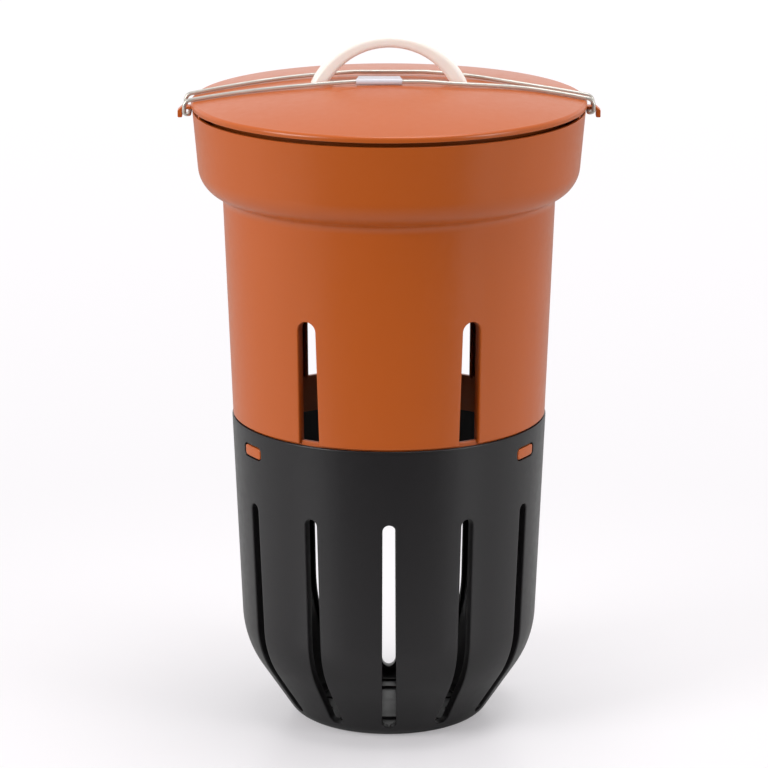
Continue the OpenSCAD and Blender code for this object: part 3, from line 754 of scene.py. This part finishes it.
def lid_outline():
    """Outline of the lid's section, from the crown over the edge and back under the dome to the axis."""
    lip_r = LID_R - DOME_T
    low_r = SKIRT_R - SKIRT_DEPTH * math.tan(COLLAR_DRAFT)
    inner_r = low_r - SKIRT_T
    shoulder = np.linspace(SHOULDER_R - 5, SHOULDER_R - 0.8, 6)
    top = np.concatenate([np.linspace(0, SHOULDER_R - 6, 44), shoulder])
    beyond = np.linspace(lip_r, SKIRT_R, 6)[1:-1]
    under = np.linspace(inner_r, 0, 24)
    low_z = RIM_Z - SKIRT_DEPTH
    edge = (SHOULDER_R, CREASE_Z) + EDGE_ROUND * spokes(1, 0, 12)
    lip = [(LID_R, CREASE_Z), (LID_R, LID_LOW_Z), (lip_r, LID_LOW_Z), (lip_r, CREASE_Z)]
    skirt_high = [(r, dome_z(r, DOME_T)) for r in (SKIRT_R, inner_r)]
    skirt = [skirt_high[0], (low_r, low_z), (inner_r, low_z), skirt_high[1]]
    lip, skirt = (rounded(line, [0, 0.8, 0.8, 0], steps) for line, steps in ((lip, 5), (skirt, 4)))
    faces = [np.stack([r, dome_z(r, t)], -1) for r, t in ((top, 0), (beyond, DOME_T), (under[1:], DOME_T))]
    return np.concatenate([faces[0], edge[:-1], lip, faces[1], skirt, faces[2]])


def add_rib(skin, turn):
    """One rib: a plate across the gap, with a step that fits inside the rim."""
    inner_r, step_r, seat_r = SKIRT_R - 1.7, RIM_R - 4, RIM_R - 1
    low, seat, sink = RIM_Z - 5, RIM_Z + 0.02, 0.5
    step = [(inner_r, low), (step_r, low), (step_r, seat), (seat_r, seat)]
    high = [(seat_r, CREASE_Z + sink), (inner_r, SHOULDER_Z + sink)]
    outline = rounded(step + high, [0, 0.8, 0, 0.5, 0, 0], 4)
    extrude(skin, outline, RIB_T / 2, 0.4, facing(turn))


def handle_turned(x, y, z):
    """Points turned with the handle, which sits 1.5 degrees off the line through the lugs."""
    cos, sin = math.cos(HANDLE_TURN), math.sin(HANDLE_TURN)
    return np.stack([x * cos - y * sin, x * sin + y * cos, z], -1)


def add_boss(skin, side):
    """One screw boss under the dome: a short bored cylinder on the screw's leaning axis."""
    angles = np.linspace(0, 2 * math.pi, 33)[:-1]
    foot_z = float(dome_z(BOSS_X)) - DOME_T
    loops = []
    for radius, height in BOSS_SECTION:
        u, v = radius * np.cos(angles), radius * np.sin(angles)
        x = side * (BOSS_X + u * math.cos(BOSS_LEAN) - height * math.sin(BOSS_LEAN))
        z = foot_z + u * math.sin(BOSS_LEAN) + height * math.cos(BOSS_LEAN)
        z = np.minimum(z, dome_z(np.hypot(x, v)) - DOME_T / 2)
        loops.append(handle_turned(x, v, z))
    skin.grid(np.array(loops), closed=True)


skin = Skin()
lathe(skin, lid_outline(), 256)
for turn in RIB_TURNS:
    add_rib(skin, turn)
for side in (-1, 1):
    add_boss(skin, side)
lid = skin.build("lid_dome")

# %% [markdown]
# ## Handle
# The arch is thinnest at its crown and widens towards its feet, because its outer and inner faces are
# arcs about two centres. A rounded rectangle is swept between them, and its feet sink into the dome.

# %% Handle
ARCH_OUTER = (63.6, 453.2)
ARCH_INNER = (50.6, 457.5)
ARCH_W = 18.0
ARCH_ROUND = 3.2
ARCH_SPAN = math.radians(67)
FOOT_SINK = 1.5


def handle_skin(stations=96, round_steps=7):
    """Rounded rectangles between the two arcs. A section's middle lies halfway between the arcs' points at
    one angle, and its thickness is the distance between them."""
    skin = Skin()
    angle = np.linspace(-ARCH_SPAN, ARCH_SPAN, stations)[:, None]
    way = np.stack([np.sin(angle), np.cos(angle)], -1)
    outer = ARCH_OUTER[0] * way + (0, ARCH_OUTER[1])
    inner = ARCH_INNER[0] * way + (0, ARCH_INNER[1])
    thick = np.linalg.norm(outer - inner, axis=-1)
    across = (outer - inner) / thick[..., None]
    sweep = np.linspace(0, math.pi / 2, round_steps)
    quarter = np.concatenate([sweep + turn * math.pi / 2 for turn in range(4)])[None]
    sign_u = np.repeat([1, -1, -1, 1], round_steps)[None]
    sign_v = np.repeat([1, 1, -1, -1], round_steps)[None]
    u = sign_u * (thick / 2 - ARCH_ROUND) + ARCH_ROUND * np.cos(quarter)
    v = sign_v * (ARCH_W / 2 - ARCH_ROUND) + ARCH_ROUND * np.sin(quarter)
    middle = (outer + inner) / 2
    x = middle[..., 0] + across[..., 0] * u
    z = middle[..., 1] + across[..., 1] * u
    y = v + 0 * x
    z = np.maximum(z, dome_z(np.hypot(x, y)) - FOOT_SINK)
    skin.solid(handle_turned(x, y, z))
    return skin


handle = handle_skin().build("handle_arch")

# %% [markdown]
# ## Wire bail and tab
# The bail is one closed loop of spring wire, swept as a round tube. Frames are carried along the path
# without twist, and what twist is left at the end is shared out, so the loop closes on itself. The
# two strands run together towards each end, and more so at the right one.

# %% Wire bail
WIRE_R = 1.5
STRAND_MID_Y = 20.0
STRAND_CLEAR = 0.3
STRAND_FLAT = 25.0
ENDS = {-1: (13.5, 55.0, 95.0), 1: (6.8, 40.0, 70.0)}
LEG_X = 149.4
CREST_BEND = 5.0
CREST_LEAN = math.atan(2 * DOME_RISE / SHOULDER_R)
CREST_X = LEG_X - CREST_BEND * (1 - math.sin(CREST_LEAN))
BAR = (145.8, 460.2)
LEG_BEND = 2.0
KNUCKLE_R = 2.2
MID_WIRE_Z = float(dome_z(STRAND_MID_Y)) + KNUCKLE_R + 0.2


def strand_y(side, x):
    """Distance of a strand from the centre line. It eases from the middle's to the end's over a stretch,
    along t * t * (3 - 2 * t), where t is the share of that stretch."""
    end_y, start, length = ENDS[side]
    t = np.clip((x - start) / length, 0, 1)
    return STRAND_MID_Y - (STRAND_MID_Y - end_y) * t * t * (3 - 2 * t)


def strand_z(side, x):
    """Height of a strand: it rests just above the dome, and is lifted towards the middle by the knuckle,
    less and less with the cube of the share of the way that is left."""

    def resting(x):
        """Height of the wire where it rests: the dome's, plus the wire's radius and a small gap."""
        return dome_z(np.hypot(x, strand_y(side, x))) + WIRE_R + STRAND_CLEAR

    lift = MID_WIRE_Z - resting(STRAND_FLAT)
    share = np.clip((x - STRAND_FLAT) / (CREST_X - STRAND_FLAT), 0, 1)
    return np.where(x < STRAND_FLAT, MID_WIRE_Z, resting(x) + lift * (1 - share) ** 3)


def bail_end(side):
    """The front half of one end: along the strand, over the lid's edge, down the leg and in to the middle
    of the cross bar, with an arc at each bend."""
    y = ENDS[side][0]
    x = np.concatenate([np.linspace(0, STRAND_FLAT, 8)[:-1], np.linspace(STRAND_FLAT, CREST_X, 70)])
    strand = np.stack([x, -strand_y(side, x), strand_z(side, x)], -1)
    z = float(strand_z(side, CREST_X)) - CREST_BEND * math.cos(CREST_LEAN)
    lean = CREST_LEAN / (math.pi / 2)
    over = [(LEG_X - CREST_BEND * (1 - sin), -y, z + CREST_BEND * cos) for cos, sin in spokes(lean, 1, 9)[1:]]
    turn = 1 - spokes(0, 1, 6)
    hook = [(LEG_X - LEG_BEND * back, -y, BAR[1] + LEG_BEND * rise) for back, rise in turn]
    r = LEG_X - LEG_BEND - BAR[0]
    inward = [(BAR[0] + r * back, r * along - y, BAR[1]) for along, back in turn[1:]]
    bar = np.array([[BAR[0], (r - y) * share, BAR[1]] for share in (0.75, 0.5, 0.25, 0)])
    return np.concatenate([strand, over, hook, inward, bar]) * (side, 1, 1)


def bail_path():
    """The wire's centre line: the right end's front half and its mirror image, then the left end's."""
    right, left = bail_end(1), bail_end(-1)
    mirror = (1, -1, 1)
    return np.concatenate([right, (right * mirror)[-2::-1], (left * mirror)[1:], left[-2:0:-1]])


def closed_tube(skin, path, radius, sides=16):
    """A round tube along a closed path. Each frame is the last one with its part along the wire removed,
    and the angle left over at the end is spread along the whole path."""
    along = np.roll(path, -1, 0) - np.roll(path, 1, 0)
    along /= np.linalg.norm(along, axis=1, keepdims=True)
    normal = np.zeros_like(path)
    normal[0] = unit(np.cross(along[0], (0, 1, 0)))
    for i in range(1, len(path)):
        normal[i] = unit(normal[i - 1] - (normal[i - 1] @ along[i]) * along[i])
    last = unit(normal[-1] - (normal[-1] @ along[0]) * along[0])
    left = math.atan2(float(np.cross(last, normal[0]) @ along[0]), float(last @ normal[0]))
    turn = left * np.arange(len(path)) / len(path)
    side = np.cross(along, normal)
    angles = (turn[:, None] + np.linspace(0, 2 * math.pi, sides + 1)[:-1])[..., None]
    rings = path[:, None] + radius * (np.cos(angles) * normal[:, None] + np.sin(angles) * side[:, None])
    skin.grid(np.concatenate([rings, rings[:1]]), closed=True)


skin = Skin()
closed_tube(skin, bail_path(), WIRE_R)
bail = skin.build("bail_loop")

# %% [markdown]
# The tab is a strip of plastic rolled round the front strand, with a free edge for a fingertip. Its
# section is drawn once and stretched sideways, so the roll stays round and snug on the wire.

# %% Finger tab
TAB_X = -7.2
TAB_W = (33.5, 30.0)
TAB_REACH = 8.0
TAB_T = 1.4
TAB_TILT = math.radians(6)
TAB_ROLL_END = math.radians(356)


def tab_skin():
    """The tab's section is a knuckle round the wire with a tilted plate behind it. It is stretched sideways,
    less at the plate's free edge, and its ends are rounded."""
    skin = Skin()
    top = KNUCKLE_R - 0.2
    low = top - TAB_T
    sweep = np.linspace(math.asin(top / KNUCKLE_R) + TAB_TILT, TAB_ROLL_END, 40)
    knuckle = np.stack([KNUCKLE_R * np.cos(sweep), KNUCKLE_R * np.sin(sweep)], -1)
    plate = rounded([(TAB_REACH, low), (TAB_REACH, top), (0, top)], [0.6, 0.6, 0], 5)[:-1]
    plate = np.concatenate([[(math.sqrt(KNUCKLE_R**2 - low**2) + 0.3, low)], plate])
    cos, sin = math.cos(TAB_TILT), math.sin(TAB_TILT)
    tilt = np.array([[cos, sin], [-sin, cos]])
    section = np.concatenate([knuckle, plate @ tilt])

    def place(y, z, across):
        """The points on the front strand. The width shrinks evenly towards the free edge."""
        narrow = 1 - (1 - TAB_W[1] / TAB_W[0]) * np.clip(y / TAB_REACH, 0, 1)
        return np.stack([TAB_X + across * narrow, y - STRAND_MID_Y, z + MID_WIRE_Z], -1)

    extrude(skin, section, TAB_W[0] / 2, 0.4, place)
    return skin


tab = tab_skin().build("tab_roll")

# %% [markdown]
# ## Ride and replace
# Every piece rides on the body of the part that it stands for. The screws and washers are machined
# parts with exact forms, so the working model's own solids stay and only get a finish.

# %% Bodies and material slots
pieces = [
    (basket, "vessel", "basket", "black_plastic"),
    (pot, "vessel", "pot", "orange_plastic"),
    *[(buttons[side], f"button_{side}", f"release_button_{side}", "orange_plastic") for side in buttons],
    (lid, "lid", "lid", "orange_plastic"),
    (handle, "lid", "handle", "cream_plastic"),
    (bail, "bail", "bail_wire", "steel_wire"),
    (tab, "tab", "bail_tab", "pale_plastic"),
]
for piece, body, node, slot in pieces:
    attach(piece, body)
    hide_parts(node)
print("pieces:", len(pieces))

# %% [markdown]
# ## Finishes
# Moulded plastic is never one flat colour. A shared group gives every plastic its soft variation in
# tone from the flow of the melt, a fine grain, and a gloss that wanders a little. The colour itself
# and the amounts are set on each material.

# %% Node helpers


def feed(tree, made, values):
    """Gives a node its inputs by name or number. Another node's output is linked, and a value is set."""
    for key, value in values.items():
        if isinstance(value, bpy.types.NodeSocket):
            tree.links.new(value, made.inputs[key])
        else:
            made.inputs[key].default_value = value


def node(tree, kind, values=(), **settings):
    """A shader node of one kind, with its settings and its inputs."""
    made = tree.nodes.new("ShaderNode" + kind)
    for key, value in settings.items():
        setattr(made, key, value)
    feed(tree, made, dict(values))
    return made


def noise(tree, place, scale, detail):
    """The value of a noise texture at a place, with the given scale and detail."""
    return node(tree, "TexNoise", {"Vector": place, "Scale": scale, "Detail": detail}).outputs["Fac"]


def ramp(tree, value, start, stop):
    """A value moved from one range to another, each (low, high), and held inside the second."""
    limits = {"From Min": start[0], "From Max": start[1], "To Min": stop[0], "To Max": stop[1]}
    return node(tree, "MapRange", {"Value": value, **limits}).outputs["Result"]


def product(tree, a, b):
    """Two values multiplied."""
    return node(tree, "Math", {0: a, 1: b}, operation="MULTIPLY").outputs[0]


def choose(tree, share, a, b):
    """A colour that goes from a to b with the share."""
    return node(tree, "Mix", {0: share, 6: a, 7: b}, data_type="RGBA").outputs[2]


def choose_value(tree, share, a, b):
    """A value that goes from a to b with the share."""
    return node(tree, "Mix", {0: share, 2: a, 3: b}, data_type="FLOAT").outputs[0]


def srgb(red, green, blue):
    """A colour given as 0 to 255 on screen, turned into the linear values that light is worked out in."""
    share = np.array([red, green, blue]) / 255
    linear = np.where(share <= 0.04045, share / 12.92, ((share + 0.055) / 1.055) ** 2.4)
    return (*linear.tolist(), 1.0)


print("middle grey on screen is", round(srgb(128, 128, 128)[0], 3), "of white in linear light")

# %% [markdown]
# The group puts out a tone, a roughness and a height. Each material decides how strongly they show.

# %% Group: moulded plastic
GROUP_SOCKETS = {
    "INPUT": {"Color": "Color", "Roughness": "Float", "Mottle": "Float"},
    "OUTPUT": {"Color": "Color", "Roughness": "Float", "Height": "Float"},
}


def moulded_group():
    """Tone, gloss and relief of a moulding. Broad noise shifts the tone, finer noise the gloss, and the
    finest gives the grain."""
    tree = bpy.data.node_groups.new("moulded_plastic", "ShaderNodeTree")
    for way, sockets in GROUP_SOCKETS.items():
        for label, kind in sockets.items():
            tree.interface.new_socket(label, in_out=way, socket_type="NodeSocket" + kind)
    given, out = tree.nodes.new("NodeGroupInput"), tree.nodes.new("NodeGroupOutput")
    place = node(tree, "TexCoord").outputs["Object"]
    flow = node(tree, "Mapping", {"Vector": place, "Scale": (1.0, 1.0, 0.35)}).outputs["Vector"]
    swing = node(tree, "Math", {0: noise(tree, flow, 14.0, 3.0), 1: 0.5}, operation="SUBTRACT").outputs[0]
    amount = product(tree, swing, given.outputs["Mottle"])
    level = node(tree, "Math", {0: amount, 1: 1.0}, operation="ADD").outputs[0]
    tint = node(tree, "VectorMath", {0: given.outputs["Color"], "Scale": level}, operation="SCALE").outputs[0]
    gloss = ramp(tree, noise(tree, place, 160.0, 4.0), (0.3, 0.7), (0.92, 1.1))
    rough = product(tree, gloss, given.outputs["Roughness"])
    feed(tree, out, {"Color": tint, "Roughness": rough, "Height": noise(tree, place, 1100.0, 2.0)})
    return tree


MOULDED = moulded_group()
print("sockets of the group:", [item.name for item in MOULDED.interface.items_tree])

# %% [markdown]
# The inside of a moulding gets painted shade: each plastic darkens its colour by a mark stored on the
# points of the pot, the basket and the lid, which stands in for the shade inside the closed pot and in the
# gap under the lid. A piece without the mark keeps its plain colour. Steel gets fine streaks along the
# direction in which it was drawn.

# %% Plastic and steel
# The share of its colour that the most shaded inner point keeps: painted shade.
PAINTED_INNER_SHADE = 0.5


def new_material(name):
    """A new material, with its node tree and its shader."""
    material = bpy.data.materials.new(name)
    material.use_nodes = True
    return material, material.node_tree, material.node_tree.nodes["Principled BSDF"]


def plastic(name, colour, roughness, mottle, grain, deep=0.0):
    """A moulded plastic with the shared group, with painted shade where its points carry the inside mark.
    grain is the relief in millimetres, and deep is the amount of light that spreads inside a pale plastic."""
    material, tree, shader = new_material(name)
    look = node(tree, "Group", node_tree=MOULDED)
    feed(tree, look, {"Color": colour, "Roughness": roughness, "Mottle": mottle})
    # Painted shade: the colour darkens where a point carries the inside mark.
    inner = node(tree, "Attribute", attribute_name="inner").outputs["Fac"]
    painted_shade = ramp(tree, inner, (0.0, 1.0), (1.0, PAINTED_INNER_SHADE))
    tone = node(tree, "VectorMath", {0: look.outputs["Color"], "Scale": painted_shade}, operation="SCALE")
    bump = node(tree, "Bump", {"Strength": 1.0, "Distance": grain * MM, "Height": look.outputs["Height"]})
    surface = {"Base Color": tone.outputs[0], "Roughness": look.outputs["Roughness"]}
    feed(tree, shader, {**surface, "Specular IOR Level": 0.5, "Normal": bump.outputs["Normal"]})
    if deep:
        spread = {"Weight": deep, "Radius": (0.004, 0.003, 0.002), "Scale": 1.0}
        feed(tree, shader, {f"Subsurface {label}": value for label, value in spread.items()})
    return material


def metal(name, colour, roughness, stretch, metallic):
    """Drawn or plated steel: a metal whose gloss varies in streaks along one direction. A metallic share
    below 1 stands for a matt skin, which scatters part of the light."""
    material, tree, shader = new_material(name)
    place = node(tree, "TexCoord").outputs["Object"]
    along = node(tree, "Mapping", {"Vector": place, "Scale": stretch}).outputs["Vector"]
    streak = noise(tree, along, 900.0, 3.0)
    gloss = ramp(tree, streak, (0.3, 0.7), (roughness * 0.8, roughness * 1.25))
    bump = node(tree, "Bump", {"Strength": 1.0, "Distance": 0.01 * MM, "Height": streak})
    surface = {"Base Color": colour, "Metallic": metallic, "Roughness": gloss}
    feed(tree, shader, {**surface, "Normal": bump.outputs["Normal"]})
    return material


print("darkest share of an inner wall's colour:", PAINTED_INNER_SHADE)

# %% [markdown]
# Each slot of the working model gets its finish, and the pieces that share a slot share the material. The
# colours are those of the photograph, and the wire is a little matt, as drawn spring wire is.

# %% Finishes
PLASTICS = {
    "black_plastic": (srgb(29, 27, 29), 0.33, 0.15, 0.03),
    "orange_plastic": (srgb(189, 90, 29), 0.3, 0.06, 0.015),
    "cream_plastic": (srgb(243, 236, 229), 0.3, 0.03, 0.01, 0.1),
    "pale_plastic": (srgb(205, 205, 214), 0.3, 0.03, 0.01),
}
METALS = {
    "steel_wire": (srgb(212, 208, 200), 0.36, (0.1, 1.0, 1.0), 0.55),
    "plated_steel": (srgb(186, 186, 190), 0.25, (1.0, 1.0, 0.2), 1.0),
}
finishes = {name: plastic(name, *look) for name, look in PLASTICS.items()}
finishes |= {name: metal(name, *look) for name, look in METALS.items()}


def paint_inner_shade(piece, share):
    """Stores each point's painted shade: how much it belongs to the inside, from 0 to 1. share works it out
    from the point's radius, its height and how far its normal turns to the axis."""
    count = len(piece.data.vertices)
    place, normal = np.empty(count * 3), np.empty(count * 3)
    piece.data.vertices.foreach_get("co", place)
    piece.data.vertices.foreach_get("normal", normal)
    place, normal = place.reshape(-1, 3) / MM, normal.reshape(-1, 3)
    radius = np.hypot(place[:, 0], place[:, 1])
    facing_in = -(place[:, :2] * normal[:, :2]).sum(1) / np.maximum(radius, 1)
    mark = piece.data.attributes.new("inner", "FLOAT", "POINT")
    mark.data.foreach_set("value", np.clip(share(radius, place[:, 2], facing_in), 0, 1).astype(np.float32))


def behind(outline):
    """A share of painted shade for a turned wall: 0 in its outer half, and further in 1.5 times the
    normal's turn inwards.
    """
    return lambda r, z, turned: np.where(radius_on(outline(0.0), z) - r > WALL / 2, 1.5 * turned, 0.0)


# Painted shade on the inner walls of the pot and the basket, and on the lid's underside and skirt seen
# through the gap.
paint_inner_shade(pot, behind(pot_outline))
paint_inner_shade(basket, behind(basket_outline))
paint_inner_shade(lid, lambda r, z, turned: np.where(r < LID_R - DOME_T + 0.1, (dome_z(r) - z - 0.6) / 2, 0.0))


def dress(piece, finish):
    """Puts one finish on a piece."""
    piece.data.materials.clear()
    piece.data.materials.append(finish)


for piece, body, name, slot in pieces:
    dress(piece, finishes[slot])
    dress(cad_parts[name], finishes[slot])
for name in ("handle_screws", "handle_washers"):
    dress(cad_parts[name], finishes["plated_steel"])
print("finishes:", ", ".join(finishes))

# %% [markdown]
# ## Studio
# The composter stands on a white floor in front of a white backdrop. The backdrop is the sky: white for
# the camera and behind the object, and grey in front, where the real room is darker. That is what
# makes the edges of the glossy pot paler than its middle. The floor takes a soft shadow near the foot.
# Further off it glows more and reflects less, until it can't be told from the backdrop.

# %% Floor and sky
FLOOR_HALF = 6.0
FLOOR_FADE = (0.2, 0.7)
FLOOR_GLOW = (0.3, 0.87)
FLOOR_WHITE = (0.98, 0.955, 0.98, 1)
FLOOR_SEEN = (0.59, 0.575, 0.59, 1)
SKY_WHITE = (0.985, 0.965, 0.985, 1)


def white_floor():
    """A floor that is nearly white for the camera and takes a soft shadow. For every other ray it is darker
    in front of the composter than behind it, and darkest for reflections."""
    mesh = bpy.data.meshes.new("floor")
    corners = [(x * FLOOR_HALF, y * FLOOR_HALF, 0) for x, y in ((-1, -1), (1, -1), (1, 1), (-1, 1))]
    mesh.from_pydata(corners, [], [(0, 1, 2, 3)])
    floor = add_object("floor", mesh)
    material, tree, shader = new_material("white_floor")
    path = node(tree, "LightPath").outputs
    place = node(tree, "TexCoord").outputs["Object"]
    depth = node(tree, "SeparateXYZ", {0: place}).outputs["Y"]
    reach = node(tree, "VectorMath", {0: place}, operation="LENGTH").outputs["Value"]
    far = ramp(tree, reach, FLOOR_FADE, (0.0, 1.0))
    glow = product(tree, ramp(tree, reach, FLOOR_FADE, FLOOR_GLOW), path["Is Camera Ray"])
    seen = choose(tree, far, FLOOR_SEEN, (0, 0, 0, 1))
    bounce = ramp(tree, depth, (-0.8, -0.1), (0.1, 0.7))
    mirror = ramp(tree, depth, (-0.8, -0.2), (0.04, 0.5))
    unseen = choose(tree, path["Is Glossy Ray"], bounce, mirror)
    shade = choose(tree, path["Is Camera Ray"], unseen, seen)
    feed(tree, shader, {"Base Color": shade, "Roughness": 0.35, "Specular IOR Level": 0.25})
    feed(tree, shader, {"Emission Color": FLOOR_WHITE, "Emission Strength": glow})
    dress(floor, material)
    floor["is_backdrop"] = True


def studio_sky():
    """White for the camera. For every other ray, its brightness follows the ray's direction: 1 behind the
    object and darker in front of it. Reflections see it darker still in front, and dimmed high up."""
    world = bpy.data.worlds.new("studio")
    bpy.context.scene.world = world
    world.use_nodes = True
    tree = world.node_tree
    place = node(tree, "TexCoord").outputs["Generated"]
    way = node(tree, "SeparateXYZ", {0: place}).outputs
    path = node(tree, "LightPath").outputs
    front = choose_value(tree, path["Is Glossy Ray"], 0.3, 0.08)
    depth = ramp(tree, way["Y"], (-0.5, 0.6), (front, 1.0))
    high = ramp(tree, way["Z"], (0.22, 0.45), (1.0, 0.68))
    light = product(tree, depth, choose_value(tree, path["Is Glossy Ray"], 1.0, high))
    colour = choose(tree, path["Is Camera Ray"], (1, 1, 1, 1), SKY_WHITE)
    strength = choose_value(tree, path["Is Camera Ray"], light, 1.0)
    feed(tree, tree.nodes["Background"], {"Color": colour, "Strength": strength})


def soft_box(name, place, aim, size, watts):
    """A square lamp that faces a point."""
    lamp = bpy.data.lights.new(name, "AREA")
    lamp.shape = "SQUARE"
    lamp.size = size
    lamp.energy = watts
    holder = add_object(name, lamp)
    holder.location = place
    x, y, z = np.array(aim) - np.array(place)
    holder.rotation_euler = (math.atan2(math.hypot(x, y), -z), 0, math.atan2(-x, y))


white_floor()
studio_sky()
soft_box("left_box", (-2.0, -1.3, 1.1), (0, 0, 0.25), 1.1, 40)
soft_box("right_box", (2.1, -1.3, 0.8), (0, 0, 0.25), 0.9, 21)
soft_box("top_box", (0.3, -0.1, 2.3), (0, 0, 0.3), 1.3, 22)

# %% [markdown]
# ## Finish
# The visual pieces should fill the same box as the working model, so both boxes are printed.

# %% Sizes
size = {"cad": [list(v) for v in (cad_low, cad_high)], "visual": [list(v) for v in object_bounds()]}
print(size)
